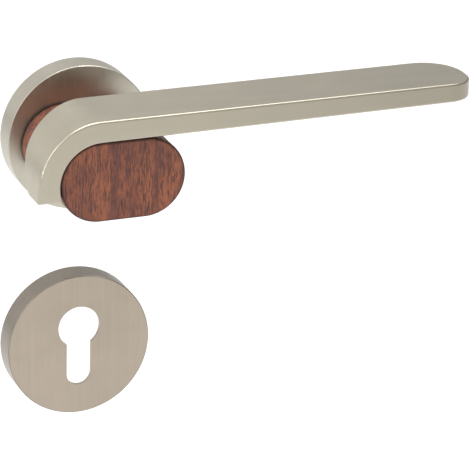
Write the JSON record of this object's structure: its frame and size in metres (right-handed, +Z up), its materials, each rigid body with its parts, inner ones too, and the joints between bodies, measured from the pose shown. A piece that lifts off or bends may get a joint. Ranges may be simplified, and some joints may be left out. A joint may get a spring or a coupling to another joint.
{
  "type": "lever door handle set",
  "caption": "Lever door handle on a round rose: a satin metal strap wrapped round a wooden grip block, with a matching round keyhole escutcheon.",
  "frame": {"origin": "on the spindle axis, in the plane of the door face", "axes": "+X along the lever towards its tip, +Y into the door, +Z up; the room side is -Y"},
  "size_m": [0.1774, 0.0952, 0.1445],
  "materials": {
    "satin_nickel": "satin nickel, finely brushed",
    "wood": "oiled reddish-brown hardwood, grain across the lever",
    "cast_zinc": "as cast, matt grey",
    "zinc_steel": "bright zinc plated",
    "black_steel": "black oxide",
    "pressed_steel": "pressed sheet, satin",
    "spring_steel": "drawn wire and hardened strip",
    "nylon": "natural nylon",
    "rubber": "black nitrile"
  },
  "bodies": {
    "root": {"rose_cover": "satin_nickel", "rose_plate": "cast_zinc", "journal_bush": "nylon", "return_spring": "spring_steel", "rose_screws": "zinc_steel", "rose_ring": "rubber", "escutcheon_cover": "satin_nickel", "escutcheon_plate": "cast_zinc", "escutcheon_screws": "zinc_steel", "escutcheon_ring": "rubber"},
    "lever": {"lever_strap": "satin_nickel", "wood_block": "wood", "wood_plugs": "wood", "hub_core": "cast_zinc", "strap_screws": "zinc_steel", "grub_screw": "black_steel", "spindle": "zinc_steel", "spring_driver": "pressed_steel", "thrust_washer": "pressed_steel", "retaining_ring": "spring_steel"}
  },
  "joints": [
    {"name": "lever_turn", "type": "hinge", "parent": "root", "child": "lever", "pos_m": [0, 0, 0], "axis": [0, 1, 0], "range_deg": [0, 40], "stiffness_Nm_per_rad": 1, "springref_deg": -34.38, "deforming": ["return_spring"]}
  ]
}
